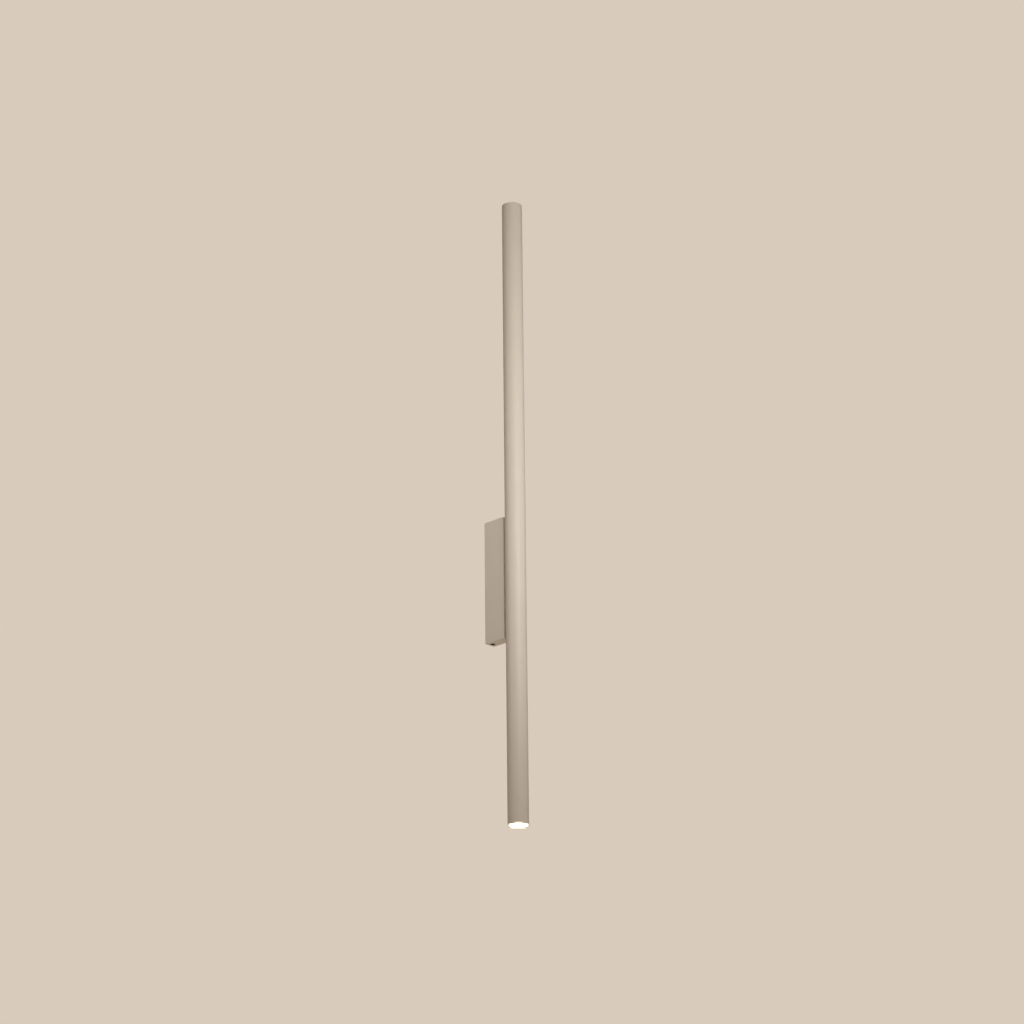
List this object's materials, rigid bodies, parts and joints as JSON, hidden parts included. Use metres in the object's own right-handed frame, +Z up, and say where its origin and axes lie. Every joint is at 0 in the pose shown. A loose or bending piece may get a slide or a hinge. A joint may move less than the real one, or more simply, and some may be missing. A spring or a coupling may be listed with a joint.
{
  "type": "tube wall light",
  "caption": "Slim upright round tube with a narrow-beam lamp in each end, on a flat housing that hangs on a wall plate and is locked from below.",
  "frame": {"origin": "middle of the wall plate's back face, on the wall, level with the middle of the housing", "axes": "+X along the wall, +Y into the wall, +Z up along the tube; the room is at -Y"},
  "size_m": [0.03, 0.0685, 0.96],
  "materials": {
    "powder_coat": "matte",
    "plated_steel": "satin",
    "black_steel": "satin",
    "ring_steel": "satin",
    "bare_aluminium": "satin",
    "terminal_brass": "satin",
    "black_rubber": "matte",
    "grey_foam": "matte",
    "thermal_silicone": "matte",
    "white_polyamide": "matte",
    "white_polycarbonate": "satin",
    "sleeve_polycarbonate": "satin",
    "brown_insulation": "satin",
    "blue_insulation": "satin",
    "lead_silicone": "satin",
    "board_mask": "satin",
    "clear_lens": "polished",
    "led_phosphor": "satin"
  },
  "bodies": {
    "wall_plate": {"wall_plate": "plated_steel", "entry_grommet": "black_rubber"},
    "fitting": {"housing": "powder_coat", "lock_block": "plated_steel", "terminal_block": "white_polyamide", "terminal_barrels": "terminal_brass", "terminal_screws": "plated_steel", "terminal_stud": "plated_steel", "terminal_nut": "plated_steel", "live_lead": "brown_insulation", "neutral_lead": "blue_insulation", "earth_stud": "plated_steel", "earth_washer": "plated_steel", "earth_nut": "plated_steel", "driver_pads": "grey_foam", "driver_case": "white_polycarbonate", "driver_lid": "white_polycarbonate", "tube": "powder_coat", "saddle_washers": "bare_aluminium", "fixing_screws": "plated_steel", "nut_strip": "bare_aluminium", "tube_grommet": "black_rubber", "led_lead_upper": "lead_silicone", "led_lead_lower": "lead_silicone", "retaining_ring_lower": "ring_steel", "retaining_ring_upper": "ring_steel", "lens_lower": "clear_lens", "lens_upper": "clear_lens", "lens_sleeve_lower": "sleeve_polycarbonate", "lens_sleeve_upper": "sleeve_polycarbonate", "led_chip_lower": "led_phosphor", "led_chip_upper": "led_phosphor", "led_board_lower": "board_mask", "led_board_upper": "board_mask", "board_screws_lower": "plated_steel", "board_screws_upper": "plated_steel", "thermal_pad_lower": "thermal_silicone", "thermal_pad_upper": "thermal_silicone", "heat_sink_lower": "bare_aluminium", "heat_sink_upper": "bare_aluminium", "sink_screw_lower": "black_steel", "sink_screw_upper": "black_steel"},
    "lock_screw": {"lock_screw": "black_steel"}
  },
  "joints": [
    {"name": "fitting_pull_off", "type": "slide", "parent": "wall_plate", "child": "fitting", "axis": [0, -1, 0], "range_m": [0, 0.03]},
    {"name": "lock_screw_travel", "type": "slide", "parent": "fitting", "child": "lock_screw", "axis": [0, 0, -1], "range_m": [0, 0.004]}
  ]
}
